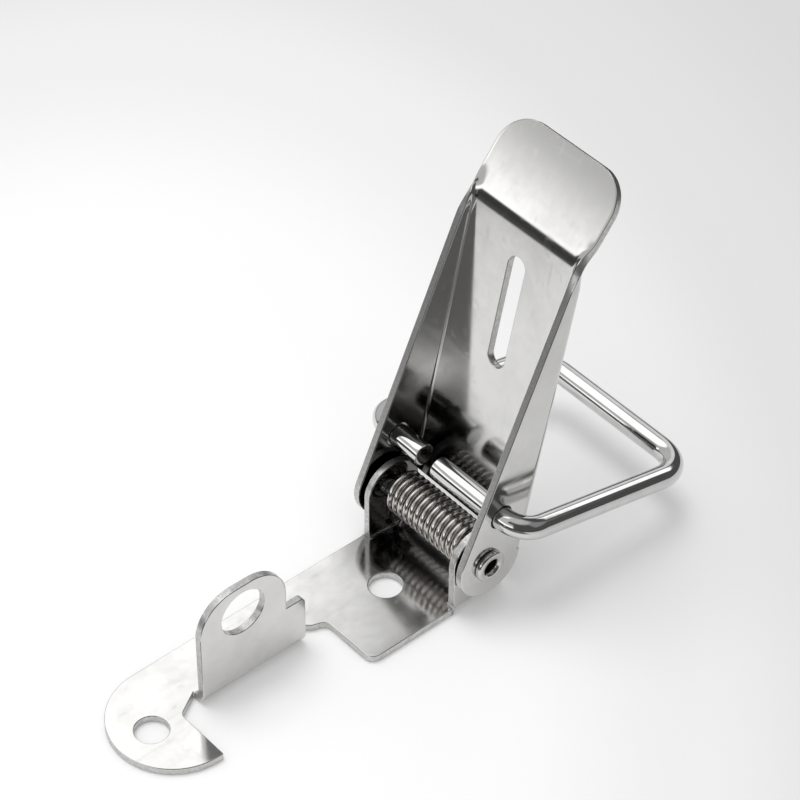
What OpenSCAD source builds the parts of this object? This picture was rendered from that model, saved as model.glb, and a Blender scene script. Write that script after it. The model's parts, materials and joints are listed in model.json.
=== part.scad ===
/* [Sheet metal] */

// Thickness of the sheet that the base plate and the lever are folded from
sheet = 1.3; // [0.8:0.1:2]

// Inside radius of the sharp folds, at the ears and along the lever
fold_inner = 0.5; // [0.3:0.1:1.5]

/* [Base plate] */

// Distance between the two mounting holes
hole_spacing = 45; // [35:0.5:60]

// Diameter of a mounting hole, a close fit for an M5 screw
hole_dia = 5.3; // [4:0.1:6.6]

// Width of the base plate, which is also the width over the two ears
base_width = 21; // [18:0.5:26]

// Where the centre of the rounded end sits, along the plate
round_end_x = -18.1; // [-22:0.1:-15]

// Where the straight cut across the near half of the rounded end sits
cut_x = -17.35; // [-19:0.05:-15]

// Where the full width of the plate begins, behind the padlock tab
wide_x = 10.85; // [9:0.05:14]

// Corner radius of that full width
wide_corner = 1.8; // [0.5:0.1:4]

/* [Padlock tab] */

// Front edge of the tab, along the plate
tab_front = -13.3; // [-16:0.1:-10]

// Back edge of the tab, along the plate
tab_back = 6.3; // [4:0.1:8]

// Back edge of the tab's rounded head
tab_head_back = 2.75; // [1:0.05:4]

// Height of the top of the tab above the mounting face
tab_top = 20.3; // [16:0.1:24]

// Corner radius of the tab's head
tab_corner = 6.4; // [4:0.1:8]

// Height of the shoulder that the closed lever rests on
shoulder_z = 10.1; // [8:0.1:12]

// Diameter of the eye that takes a padlock's shackle
eye_dia = 8; // [6:0.1:9]

// Where the eye's centre sits, along the plate
eye_x = -5.3; // [-8:0.1:-3]

// Height of the eye's centre above the mounting face
eye_z = 14.95; // [13:0.05:16]

// Inside radius of the fold that turns the tab up
tab_fold = 1.2; // [0.5:0.1:3]

/* [Pivot] */

// Where the pivot sits, along the plate
pivot_x = 32.15; // [28:0.05:36]

// Height of the pivot above the mounting face
pivot_z = 9.1; // [8:0.05:12]

// Radius of the rounded ears
ear_radius = 5; // [4:0.1:6.5]

// Outside diameter of the hollow rivet
rivet_dia = 3.6; // [3:0.1:3.8]

// Bore of the hollow rivet
rivet_bore = 2.5; // [1.5:0.1:2.8]

// Width of the bore's flared mouth, in the rolled lip
rivet_mouth = 3.2; // [2.9:0.1:3.8]

// Diameter of the rolled lip at each end of the rivet
lip_dia = 5.3; // [5:0.1:6]

// How far a lip stands out from the lever's side
lip_height = 1; // [0.5:0.1:1.5]

/* [Lever] */

// Room between an ear and the side of the lever that passes outside it
ear_room = 0.7; // [0.3:0.05:1.5]

// Lean of the open lever, from upright toward the bail
lever_lean = 12.9; // [0:0.1:30]

// Depth from the pivot to the outside of the lever's back
lever_back = 7.25; // [6.5:0.05:9]

// Where the lower edge of the lever's back sits, along the lever from the pivot
back_low = 0.8; // [0:0.1:4]

// Where the lever's back begins to bend into the finger tongue
tongue_bend_at = 50.4; // [45:0.1:55]

// How far the tongue leans back from the lever's back
tongue_lean = 25.5; // [10:0.5:35]

// Inside radius of the tongue's bend
tongue_fold = 1.8; // [1:0.1:4]

// Straight length of the tongue after its bend
tongue_length = 13.5; // [10:0.1:20]

// How much narrower the tongue is than the lever, on each side
tongue_inset = 0.3; // [0:0.05:2]

// Corner radius of the tongue's tip
tongue_corner = 5.7; // [2:0.1:9]

// How far the sides' front edges stand in front of the pivot
side_front = 5.15; // [4:0.05:6.5]

// Angle between the sides' front edges and the lever's back
side_taper = 11.6; // [8:0.1:14]

// Lower end of the slot that the padlock tab comes through, from the pivot
slot_low = 26.7; // [24:0.1:28]

// Upper end of that slot, from the pivot
slot_high = 46.1; // [45:0.1:48]

// Width of that slot
slot_width = 3.5; // [2:0.1:5]

/* [Bail] */

// Diameter of the bail's wire
bail_wire = 3.7; // [2.5:0.1:4.5]

// Where the bail's holes sit, along the lever from the pivot
bail_along = 8.7; // [7:0.1:11]

// Where the bail's holes sit, behind the pivot toward the lever's back
bail_behind = 0.6; // [-1:0.1:2]

// Distance from the bail's holes to the middle of its cross bar
bail_reach = 35.9; // [28:0.1:45]

// Room between the lever's side and the bail's leg
bail_room = 2.55; // [1.5:0.05:4]

// Slope of the resting bail, downward from level
bail_slope = 13.6; // [0:0.1:25]

// Bend radius of the bail's far corners, at the middle of the wire
bail_corner = 5.8; // [3:0.1:8]

// Bend radius where the wire turns in to the holes, at the middle of the wire
bail_turn = 3.9; // [2.5:0.1:4.2]

// How far the left end of the wire stops from the middle of the lever
left_stub_end = 5.1; // [2.5:0.1:9]

// How far the right end of the wire stops from the middle, on the left side of it
right_stub_end = 1.8; // [-4:0.1:2.2]

/* [Torsion spring] */

// Diameter of the spring's wire
spring_wire = 1.05; // [0.6:0.05:1.15]

// Diameter of the coil at the middle of its wire
coil_dia = 5.05; // [4.95:0.05:5.6]

// Whole turns of the coil
coil_turns = 13; // [6:1:13]

// Room between the right ear and the coil
coil_room_right = 0.5; // [0.2:0.05:1]

// Room between the left ear and the coil, where the rivet shows
coil_room_left = 0.95; // [0.2:0.05:1.5]

// Downward angle of the leg that rests on the base plate
base_leg_angle = 62; // [40:1:65]

// Angle of the leg that leans on the lever, away from the lever's back
lever_leg_angle = 20; // [10:1:35]

/* [Hidden] */

// Play between pieces that turn on each other
running_gap = 0.1;

// Play between the bail's wire and its holes
bail_gap = 0.2;

// Play of the rivet in the ears
rivet_gap = 0.05;

// What the two spring legs leave free where they rest
leg_gap = 0.04;

// How far pieces of one solid run into each other, so that they join
join = 0.3;

fold_outer = fold_inner + sheet;
tab_fold_outer = tab_fold + sheet;
half_base = base_width / 2;
half_lever = half_base + ear_room + sheet;
half_tongue = half_lever - tongue_inset;
rear_x = pivot_x + ear_radius;
ear_front = pivot_x - ear_radius;
tab_near = -sheet / 2;
fold_line_y = tab_near + tab_fold_outer;
back_inner = lever_back - sheet;
side_back = lever_back - fold_outer;
fold_start = half_lever - fold_outer;
front_slope = tan(side_taper);
front_at_pivot = -side_front / cos(side_taper);
end_radius = 5.85;
end_across = 0.55;
end_along = -0.2;
chamfer_at = 47.4;
chamfer_angle = 28;
slant_angle = 48;
chamfer_x = front_at_pivot + chamfer_at * front_slope;
chamfer_top = chamfer_at + (side_back - chamfer_x) / tan(chamfer_angle);
lever_top = tongue_bend_at;
bail_r = bail_wire / 2;
half_span = half_lever + bail_room + bail_r;
rivet_r = rivet_dia / 2;
lip_inner = half_lever + running_gap;
lip_outer = half_lever + lip_height;
spring_r = spring_wire / 2;
coil_left = half_base - sheet - coil_room_left - spring_r;
coil_right = -(half_base - sheet - coil_room_right - spring_r);
coil_r = coil_dia / 2;
start_angle = base_leg_angle - 90;
end_angle = 360 * coil_turns - lever_lean - lever_leg_angle;
coil_total = end_angle - start_angle;
leg_rest_z = sheet + spring_r + leg_gap;
leg_start_z = pivot_z + coil_r * sin(start_angle);
base_leg = (leg_start_z - leg_rest_z) / sin(base_leg_angle);
leg_rest_n = back_inner - spring_r - leg_gap;
lever_leg = (leg_rest_n - coil_r * cos(lever_leg_angle)) / sin(lever_leg_angle);

// Which piece to show, or all of them

$fn = 96;

// The section through a fold, a quarter of a ring with a short flat tail at each end
module fold_ring(inner, outer) {
    difference() {
        intersection() {
            circle(r = outer);
            square([outer + 1, outer + 1]);
        }
        circle(r = inner);
    }
    translate([inner, -join]) square([outer - inner, join]);
    translate([-join, inner]) square([join, outer - inner]);
}

// A rectangle given by its two corners
module box_2d(x1, y1, x2, y2) {
    translate([x1, y1]) square([x2 - x1, y2 - y1]);
}

// Turns a flat drawing of across and height into a solid that is thick across the plate
module upright(thick) {
    translate([0, thick / 2, 0]) rotate([90, 0, 0]) linear_extrude(thick) children();
}

// A straight round bar between two heights across the plate
module cross_pin(radius, y1, y2) {
    translate([0, y1, 0]) rotate([-90, 0, 0]) cylinder(r = radius, h = y2 - y1);
}

// The flat part of the base plate, seen from above
module base_outline() {
    side = half_base - fold_outer;
    relief_run = 2.3;
    relief_depth = 1.05;
    relief_rise = 0.3;
    // the rounded end, cut straight across its near half
    difference() {
        translate([round_end_x, 0]) circle(r = half_base);
        box_2d(cut_x, -half_base - 1, 0, half_base + 1);
    }
    // the long strip on the far side of the tab
    box_2d(round_end_x, fold_line_y, ear_front, half_base);
    // the sloping relief in front of the tab
    polygon([
        [cut_x - 1, -1.2],
        [cut_x, -1.2],
        [cut_x + 0.12, -0.65],
        [cut_x + 0.6, -0.2],
        [tab_front, fold_line_y],
        [tab_front, fold_line_y + 1],
        [cut_x - 1, fold_line_y + 1]
    ]);
    // the rounded relief behind the tab
    polygon([
        [tab_back, fold_line_y],
        [tab_back + relief_run / 2, fold_line_y - relief_depth / 9],
        [tab_back + relief_run - relief_rise, fold_line_y - relief_depth + relief_rise],
        [tab_back + relief_run, fold_line_y - relief_depth],
        [wide_x - 1, 0.38],
        [wide_x - 0.45, 0.05],
        [wide_x - 0.12, -0.4],
        [wide_x, -1],
        [wide_x + 1, -1],
        [wide_x + 1, fold_line_y + 1],
        [tab_back, fold_line_y + 1]
    ]);
    // the full width, with its rounded corner
    box_2d(wide_x, -half_base + wide_corner, ear_front, half_base);
    box_2d(wide_x + wide_corner, -half_base, ear_front, 0);
    translate([wide_x + wide_corner, -half_base + wide_corner]) circle(r = wide_corner);
    // the floor between the ears
    box_2d(ear_front - 1, -side, rear_x, side);
}

// The outline of the padlock tab, seen from its side
module tab_outline() {
    low = tab_fold_outer;
    radius = 0.9;
    difference() {
        union() {
            box_2d(tab_front, low, tab_head_back, tab_top - tab_corner);
            box_2d(tab_front + tab_corner, low, tab_head_back - tab_corner, tab_top);
            translate([tab_front + tab_corner, tab_top - tab_corner]) circle(r = tab_corner);
            translate([tab_head_back - tab_corner, tab_top - tab_corner]) circle(r = tab_corner);
            box_2d(tab_front, low, tab_back - radius, shoulder_z);
            box_2d(tab_front, low, tab_back, shoulder_z - radius);
            translate([tab_back - radius, shoulder_z - radius]) circle(r = radius);
        }
        translate([eye_x, eye_z]) circle(d = eye_dia);
    }
}

// One ear's outline, seen from its side
module ear_outline() {
    difference() {
        union() {
            translate([pivot_x, pivot_z]) circle(r = ear_radius);
            box_2d(ear_front, fold_outer, rear_x, pivot_z);
        }
        translate([pivot_x, pivot_z]) circle(r = rivet_r + rivet_gap);
    }
}

// An ear on the left of the plate with the fold that carries it
module left_ear() {
    translate([0, half_base - sheet / 2, 0]) upright(sheet) ear_outline();
    translate([ear_front, half_base - fold_outer, fold_outer])
        rotate([90, 0, 90])
            linear_extrude(rear_x - ear_front)
                mirror([0, 1]) fold_ring(fold_inner, fold_outer);
}

// The base plate with its ears and its padlock tab, one folded sheet
module base_plate() {
    color([0.86, 0.87, 0.88])
        difference() {
            union() {
                linear_extrude(sheet) base_outline();
                left_ear();
                mirror([0, 1, 0]) left_ear();
                upright(sheet) tab_outline();
                // the fold that turns the tab up out of the plate
                translate([tab_front, fold_line_y, tab_fold_outer])
                    rotate([90, 0, 90])
                        linear_extrude(tab_back - tab_front)
                            mirror([1, 0]) mirror([0, 1]) fold_ring(tab_fold, tab_fold_outer);
            }
            for (side = [-1, 1]) {
                translate([side * hole_spacing / 2, 0, -1]) cylinder(d = hole_dia, h = sheet + 2);
            }
        }
}

// The hollow rivet that the lever turns on, with a rolled lip at each end
module pivot_rivet() {
    roll = 0.45;
    mouth_depth = 0.7;
    body = lip_outer - mouth_depth;
    color([0.8, 0.8, 0.82])
        translate([pivot_x, 0, pivot_z])
            rotate([90, 0, 0])
                rotate_extrude() {
                    box_2d(rivet_bore / 2, -body, rivet_r, body);
                    for (side = [-1, 1]) {
                        mirror([0, side < 0 ? 1 : 0]) {
                            difference() {
                                union() {
                                    box_2d(rivet_bore / 2, lip_inner, lip_dia / 2 - roll, lip_outer);
                                    box_2d(rivet_bore / 2, lip_inner, lip_dia / 2, lip_outer - roll);
                                    translate([lip_dia / 2 - roll, lip_outer - roll]) circle(r = roll);
                                }
                                polygon([
                                    [0, lip_inner],
                                    [rivet_bore / 2, lip_outer - mouth_depth],
                                    [rivet_mouth / 2, lip_outer],
                                    [rivet_mouth / 2, lip_outer + 1],
                                    [0, lip_outer + 1]
                                ]);
                            }
                        }
                    }
                }
}

// A point on the spring's middle line. Steps before and after the coil are its legs
function coil_point(angle) = [
    pivot_x + coil_r * cos(angle),
    coil_left + (coil_right - coil_left) * (angle - start_angle) / coil_total,
    pivot_z + coil_r * sin(angle)
];

coil_steps = 20 * coil_turns;
start_point = coil_point(start_angle);
end_point = coil_point(end_angle);
start_dir = [-cos(base_leg_angle), 0, -sin(base_leg_angle)];
end_dir = [-sin(end_angle), 0, cos(end_angle)];
spring_path = concat(
    [start_point + base_leg * start_dir],
    [start_point + 0.25 * start_dir],
    [for (i = [1 : coil_steps - 1]) coil_point(start_angle + coil_total * i / coil_steps)],
    [end_point + 0.25 * end_dir],
    [end_point + lever_leg * end_dir]
);
path_last = len(spring_path) - 1;
ring_sides = 8;

function unit(v) = v / norm(v);

function path_dir(i) =
    unit(spring_path[min(i + 1, path_last)] - spring_path[max(i - 1, 0)]);

function ring_at(i) =
    let (
        along = path_dir(i),
        side = unit(cross(along, cross([0, 1, 0], along))),
        up = cross(along, side)
    )
    [for (k = [0 : ring_sides - 1])
        spring_path[i]
        + spring_r * cos(360 * k / ring_sides) * side
        + spring_r * sin(360 * k / ring_sides) * up
    ];

spring_points = [for (i = [0 : path_last]) each ring_at(i)];
spring_faces = concat(
    [[for (k = [0 : ring_sides - 1]) k]],
    [for (i = [0 : path_last - 1], k = [0 : ring_sides - 1])
        let (k2 = (k + 1) % ring_sides)
        each [
            [i * ring_sides + k, (i + 1) * ring_sides + k, (i + 1) * ring_sides + k2],
            [i * ring_sides + k, (i + 1) * ring_sides + k2, i * ring_sides + k2]
        ]
    ],
    [[for (k = [0 : ring_sides - 1]) path_last * ring_sides + ring_sides - 1 - k]]
);

// The spring round the rivet, with one leg on the plate and one on the lever
module torsion_spring() {
    color([0.75, 0.76, 0.78])
        polyhedron(points = spring_points, faces = spring_faces, convexity = 10);
}

// Places its children in the lever's own frame, with the pivot at the middle, the
// lever's length upward and its back toward positive x
module lever_frame() {
    translate([pivot_x, 0, pivot_z]) rotate([0, lever_lean, 0]) children();
}

// The section of the lever's back, across its length
module back_section() {
    box_2d(back_inner, -fold_start, lever_back, fold_start);
}

// The section of one fold between the lever's back and its left side
module fold_section() {
    translate([side_back, fold_start]) fold_ring(fold_inner, fold_outer);
}

// The outline of one of the lever's sides, up to where its fold begins
module side_outline() {
    tangent_x = end_across - end_radius * cos(side_taper);
    tangent_z = end_along + end_radius * sin(side_taper);
    // the rounded end stands out a little more than the front edge, so that they cross
    rounding = end_radius + 0.01;
    intersection() {
        translate([end_across, end_along]) circle(r = rounding);
        union() {
            box_2d(-2 * end_radius, -2 * end_radius, 2 * end_radius, back_low);
            box_2d(-2 * end_radius, -2 * end_radius, end_across, tangent_z + 1);
        }
    }
    polygon([
        [tangent_x, tangent_z],
        [chamfer_x, chamfer_at],
        [side_back, chamfer_top],
        [side_back, back_low - 1],
        [end_across, end_along]
    ]);
}

// The part of a fold that is left under its slanted upper end
module under_slant() {
    reach = fold_outer + 1;
    polygon([
        [side_back - 1, back_low - 1],
        [side_back + reach, back_low - 1],
        [side_back + reach, chamfer_top + reach / tan(slant_angle)],
        [side_back, chamfer_top],
        [side_back, chamfer_at],
        [side_back - 1, chamfer_at]
    ]);
}

// The left side of the lever with the fold that joins it to the back
module left_side() {
    translate([0, half_lever - sheet / 2, 0]) upright(sheet) side_outline();
    intersection() {
        translate([0, 0, back_low]) linear_extrude(lever_top - back_low) fold_section();
        translate([0, half_lever, 0]) upright(2 * half_lever) under_slant();
    }
}

// The finger tongue, with the bend that leans it back
module tongue() {
    turn = tongue_fold + sheet;
    corner_y = half_tongue - tongue_corner;
    translate([lever_back + tongue_fold, 0, lever_top]) {
        rotate([90, 0, 0])
            linear_extrude(2 * half_tongue, center = true)
                intersection() {
                    difference() {
                        circle(r = turn);
                        circle(r = tongue_fold);
                    }
                    polygon([
                        [0, 0],
                        [-2 * turn, 0],
                        [-2 * turn, 2 * turn * tan(tongue_lean)]
                    ]);
                }
        rotate([0, tongue_lean, 0])
            translate([-turn, 0, 0])
                rotate([90, 0, 90])
                    linear_extrude(sheet) {
                        box_2d(-half_tongue, 0, half_tongue, tongue_length - tongue_corner);
                        box_2d(-corner_y, 0, corner_y, tongue_length);
                        for (side = [-1, 1]) {
                            translate([side * corner_y, tongue_length - tongue_corner])
                                circle(r = tongue_corner);
                        }
                    }
    }
}

// The slot for the padlock tab, seen on the lever's back
module slot_outline() {
    radius = slot_width / 2;
    box_2d(-radius, slot_low + radius, radius, slot_high - radius);
    translate([0, slot_low + radius]) circle(r = radius);
    translate([0, slot_high - radius]) circle(r = radius);
}

// The lever, one sheet folded into a channel
module lever() {
    color([0.84, 0.85, 0.86])
        lever_frame()
            difference() {
                union() {
                    translate([0, 0, back_low])
                        linear_extrude(lever_top - back_low) back_section();
                    left_side();
                    mirror([0, 1, 0]) left_side();
                    tongue();
                }
                // the slot
                rotate([90, 0, 90]) linear_extrude(2 * lever_back) slot_outline();
                // the holes for the rivet and for the bail
                cross_pin(rivet_r + running_gap, -half_lever - 1, half_lever + 1);
                translate([bail_behind, 0, bail_along])
                    cross_pin(bail_r + bail_gap, -half_lever - 1, half_lever + 1);
            }
}

// Places its children in the bail's own frame, with its hole axis at the middle
// and the bail lying toward positive x
module bail_frame() {
    lever_frame()
        translate([bail_behind, 0, bail_along])
            rotate([0, bail_slope - lever_lean, 0]) children();
}

// A quarter bend of the bail's wire, from the far leg's side of a corner
module wire_bend(radius) {
    rotate_extrude(angle = 90) translate([radius, 0]) circle(r = bail_r);
}

// The half of the bail on one side of the middle, drawn on the left
module half_bail(stub_end) {
    cross_pin(bail_r, stub_end, half_span - bail_turn);
    translate([bail_turn, half_span - bail_turn, 0]) rotate([0, 0, 90]) wire_bend(bail_turn);
    translate([bail_turn, half_span, 0])
        rotate([0, 90, 0]) cylinder(r = bail_r, h = bail_reach - bail_turn - bail_corner);
    translate([bail_reach - bail_corner, half_span - bail_corner, 0]) wire_bend(bail_corner);
    translate([bail_reach, 0, 0]) cross_pin(bail_r, -join, half_span - bail_corner);
}

// The bail, one bent wire whose ends turn in through the lever's sides
module bail() {
    color([0.9, 0.9, 0.91])
        bail_frame() {
            half_bail(left_stub_end);
            mirror([0, 1, 0]) half_bail(-right_stub_end);
        }
}

base_plate();
pivot_rivet();
torsion_spring();
lever();
bail();
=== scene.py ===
"""Looks of an over centre toggle latch: two folded sheets, a hollow rivet, a spring and a wire bail."""

import json
import logging
import math
from collections.abc import Callable
from dataclasses import dataclass, field
from enum import Enum

import bmesh
import bpy
from mathutils import Matrix, Vector

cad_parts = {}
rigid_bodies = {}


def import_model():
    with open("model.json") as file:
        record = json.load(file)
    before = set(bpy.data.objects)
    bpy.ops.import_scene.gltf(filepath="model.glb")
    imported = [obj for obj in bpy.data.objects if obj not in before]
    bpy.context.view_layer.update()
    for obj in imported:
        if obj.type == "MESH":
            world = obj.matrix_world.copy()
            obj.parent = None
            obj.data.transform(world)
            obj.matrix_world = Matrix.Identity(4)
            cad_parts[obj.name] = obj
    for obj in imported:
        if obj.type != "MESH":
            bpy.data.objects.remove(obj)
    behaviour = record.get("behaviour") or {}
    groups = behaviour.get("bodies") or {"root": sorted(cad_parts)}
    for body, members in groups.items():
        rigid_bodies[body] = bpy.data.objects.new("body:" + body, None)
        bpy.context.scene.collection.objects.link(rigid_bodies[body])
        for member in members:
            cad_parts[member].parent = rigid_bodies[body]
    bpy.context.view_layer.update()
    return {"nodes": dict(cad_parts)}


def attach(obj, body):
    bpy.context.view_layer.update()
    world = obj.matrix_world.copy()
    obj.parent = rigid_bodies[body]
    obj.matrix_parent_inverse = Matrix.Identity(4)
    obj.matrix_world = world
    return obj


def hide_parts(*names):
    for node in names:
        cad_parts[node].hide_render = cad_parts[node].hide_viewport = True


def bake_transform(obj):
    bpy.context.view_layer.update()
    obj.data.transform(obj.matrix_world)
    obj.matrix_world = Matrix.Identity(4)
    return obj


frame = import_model()

MM = 0.001
log = logging.getLogger("latch")

# Millimetres by which a place may miss a limit
SLACK = 1e-3

Place = tuple[float, float, float]
Box = tuple[Place, Place]
Piece = bpy.types.Object
Socket = bpy.types.NodeSocket


class Body(Enum):
    """The bodies of the latch that a piece can ride on."""

    BASE = "base"
    LEVER = "lever"
    BAIL = "bail"


class Slot(Enum):
    """The material slots of the record."""

    SHEET = "sheet"
    RIVET = "rivet"
    SPRING = "spring_wire"
    BAIL = "bail_wire"


# Modelling steps


def millimetres(*values: float) -> Vector:
    """A point or a step given in millimetres, in metres."""
    return Vector(values) * MM


def spaced(low: float, high: float, steps: int) -> list[float]:
    """Evenly spaced values, from the first beyond the low one up to the high one."""
    return [low + (high - low) * step / steps for step in range(1, steps + 1)]


def deselect_all() -> None:
    """Leaves nothing selected, the frame's nodes included."""
    for thing in bpy.context.scene.objects:
        thing.select_set(False)


def take(piece: Piece) -> None:
    """Makes a piece the only selected one, and the active one.

    Args:
        piece: The piece.
    """
    deselect_all()
    piece.select_set(True)
    bpy.context.view_layer.objects.active = piece


def start_piece(name: str) -> Piece:
    """Names the primitive that was just added.

    Args:
        name: The name for it and its mesh.

    Returns:
        The piece.
    """
    piece = bpy.context.active_object
    piece.name = name
    piece.data.name = name
    return piece


def shape(piece: Piece) -> None:
    """Opens a piece in edit mode with all of its mesh selected.

    Args:
        piece: The piece.
    """
    take(piece)
    bpy.ops.object.mode_set(mode="EDIT")
    bpy.ops.mesh.select_all(action="SELECT")


def close_shape() -> None:
    """Leaves edit mode."""
    bpy.ops.object.mode_set(mode="OBJECT")


def shape_points(piece: Piece, is_chosen: Callable[[Vector], bool]) -> None:
    """Opens a piece in edit mode with only some of its points selected.

    Args:
        piece: The piece.
        is_chosen: Says of a point's place, in metres, whether it is selected.
    """
    shape(piece)
    bpy.ops.mesh.select_all(action="DESELECT")
    close_shape()
    for vertex in piece.data.vertices:
        vertex.select = is_chosen(vertex.co)
    bpy.ops.object.mode_set(mode="EDIT")
    bpy.ops.mesh.select_mode(type="VERT")


def settle(piece: Piece, placement: Matrix) -> None:
    """Puts a piece in its place and moves that place into its mesh.

    Args:
        piece: The piece, shaped about its own origin.
        placement: Where that origin goes and how the piece is turned, in metres.
    """
    take(piece)
    piece.matrix_world = placement @ piece.matrix_world
    bpy.ops.object.transform_apply(location=True, rotation=True, scale=True)


def apply_modifiers(piece: Piece) -> None:
    """Applies every modifier of a piece, in order.

    Args:
        piece: The piece.
    """
    take(piece)
    for name in [modifier.name for modifier in piece.modifiers]:
        bpy.ops.object.modifier_apply(modifier=name)


def mesh_outward(piece: Piece, merge: float = 1e-7) -> None:
    """Joins doubled points and turns every face outward.

    Args:
        piece: The piece to clean.
        merge: How close two points are to be joined, in metres.
    """
    shape(piece)
    bpy.ops.mesh.remove_doubles(threshold=merge)
    bpy.ops.mesh.normals_make_consistent(inside=False)
    close_shape()


def open_points(mesh: bmesh.types.BMesh) -> list[bmesh.types.BMVert]:
    """The points on a mesh's open edges, in the mesh's own order, which is the same each run."""
    return [vertex for vertex in mesh.verts if vertex.is_boundary]


def extrude_ring(step: Vector) -> None:
    """Pushes the selected ring on by one step, leaving the new ring selected."""
    bpy.ops.mesh.extrude_region_move(TRANSFORM_OT_translate={"value": step})


def resize_ring(factor: float, centre: Vector) -> None:
    """Makes the selected ring wider or narrower about a centre."""
    bpy.ops.transform.resize(value=(factor, factor, factor), center_override=centre)


def smooth(piece: Piece, degrees: float) -> None:
    """Shades a piece smooth across its gentle edges."""
    take(piece)
    bpy.ops.object.shade_smooth_by_angle(angle=math.radians(degrees))


# Material steps


@dataclass
class NodeBench:
    """Lays nodes into one node tree and joins them.

    Attributes:
        tree: The tree being built.
        column: How far to the right the next node is placed.
        spacing: How far apart the nodes are placed.
    """

    tree: bpy.types.NodeTree
    column: int = 0
    spacing: int = 180

    def add(self, kind: str, **settings: object) -> bpy.types.Node:
        """Adds a node and sets its own options.

        Args:
            kind: The node's type.
            settings: Its options, by name.

        Returns:
            The node.
        """
        node = self.tree.nodes.new(kind)
        node.location = (self.column, 0)
        self.column += self.spacing
        for key, value in settings.items():
            setattr(node, key, value)
        return node

    def feed(self, target: Socket, source: object) -> None:
        """Joins a socket to another one, or sets it to a plain value.

        Args:
            target: The socket that is fed.
            source: The other socket, or the value.
        """
        if isinstance(source, Socket):
            self.tree.links.new(source, target)
        else:
            target.default_value = source

    def maths(self, operation: str, *values: object) -> Socket:
        """Works out one operation on numbers.

        Args:
            operation: The operation, as a Math node names it.
            values: The sockets or plain numbers it works on.

        Returns:
            The socket with the result.
        """
        node = self.add("ShaderNodeMath", operation=operation)
        for socket, value in zip(node.inputs, values):
            self.feed(socket, value)
        return node.outputs[0]

    def ramp(
        self, value: object, low: float, high: float, to_low: float = 0.0, to_high: float = 1.0
    ) -> Socket:
        """Spreads one range of a value onto another, clamped and eased at both ends.

        Args:
            value: The socket or number that is spread.
            low: The value that gives to_low.
            high: The value that gives to_high.
            to_low: The result at low and below it.
            to_high: The result at high and above it.

        Returns:
            The socket with the result.
        """
        node = self.add("ShaderNodeMapRange", interpolation_type="SMOOTHSTEP")
        for socket, given in zip(node.inputs, (value, low, high, to_low, to_high)):
            self.feed(socket, given)
        return node.outputs[0]

    def blend(self, share: object, first: object, second: object) -> Socket:
        """Blends two numbers.

        Args:
            share: How much of the second one is taken.
            first: The first number.
            second: The second number.

        Returns:
            The socket with the blend.
        """
        node = self.add("ShaderNodeMix", data_type="FLOAT")
        for place, source in ((0, share), (2, first), (3, second)):
            self.feed(node.inputs[place], source)
        return node.outputs[0]

    def mix(self, share: object, first: object, second: object, way: str = "MIX") -> Socket:
        """Blends two colours.

        Args:
            share: How much of the second one is taken.
            first: The first colour.
            second: The second colour.
            way: How they are blended, as a Mix node names it.

        Returns:
            The socket with the blend.
        """
        node = self.add("ShaderNodeMix", data_type="RGBA", blend_type=way)
        for place, source in ((0, share), (6, first), (7, second)):
            self.feed(node.inputs[place], source)
        return node.outputs[2]

    def tint(self, first: object, second: object) -> Socket:
        """Multiplies two colours."""
        return self.mix(1.0, first, second, "MULTIPLY")

    def along(self, place: Socket, axis: Place | Vector) -> Socket:
        """How far a place lies along an axis.

        Args:
            place: The place.
            axis: The axis.

        Returns:
            The socket with the product of the two.
        """
        node = self.add("ShaderNodeVectorMath", operation="DOT_PRODUCT")
        self.feed(node.inputs[0], place)
        self.feed(node.inputs[1], axis)
        return node.outputs["Value"]

    def noise(self, where: Socket, scale: object, detail: float, roughness: float) -> Socket:
        """Soft noise at a place.

        Args:
            where: The socket with the place.
            scale: Cells to the metre.
            detail: Octaves of finer noise.
            roughness: How strong the finer noise is.

        Returns:
            The socket with the noise, around 0.5.
        """
        node = self.add("ShaderNodeTexNoise")
        self.feed(node.inputs["Vector"], where)
        self.feed(node.inputs["Scale"], scale)
        self.feed(node.inputs["Detail"], detail)
        self.feed(node.inputs["Roughness"], roughness)
        return node.outputs["Fac"]

    def layered_noise(self, where: Socket, scale: Socket, layers: tuple[tuple[float, ...], ...]) -> Socket:
        """Adds up layers of noise.

        Args:
            where: The socket with the place.
            scale: The socket with the cells to the metre.
            layers: Of each layer its share, how much finer it is, its detail and its roughness.

        Returns:
            The socket with the sum.
        """
        total = None
        for share, finer, detail, roughness in layers:
            layer = self.noise(where, self.maths("MULTIPLY", scale, finer), detail, roughness)
            layer = self.maths("MULTIPLY", layer, share)
            total = layer if total is None else self.maths("ADD", total, layer)
        return total

    def stretch(self, where: Socket, turn: Place, scale: Place) -> Socket:
        """Turns and stretches a place, for marks that run one way.

        Args:
            where: The socket with the place.
            turn: The turn about each axis, in degrees.
            scale: The stretch along each axis.

        Returns:
            The socket with the new place.
        """
        node = self.add("ShaderNodeMapping")
        self.feed(node.inputs["Vector"], where)
        self.feed(node.inputs["Rotation"], [math.radians(angle) for angle in turn])
        self.feed(node.inputs["Scale"], scale)
        return node.outputs["Vector"]

    def group(self, tree: bpy.types.NodeTree, where: Socket, values: dict[str, float]) -> bpy.types.Node:
        """Puts a node group in.

        Args:
            tree: The group.
            where: The socket with the place that it reads.
            values: Its other inputs' values, by name.

        Returns:
            The group's node.
        """
        node = self.add("ShaderNodeGroup", node_tree=tree)
        self.feed(node.inputs["Place"], where)
        for key, value in values.items():
            self.feed(node.inputs[key], value)
        return node

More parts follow.
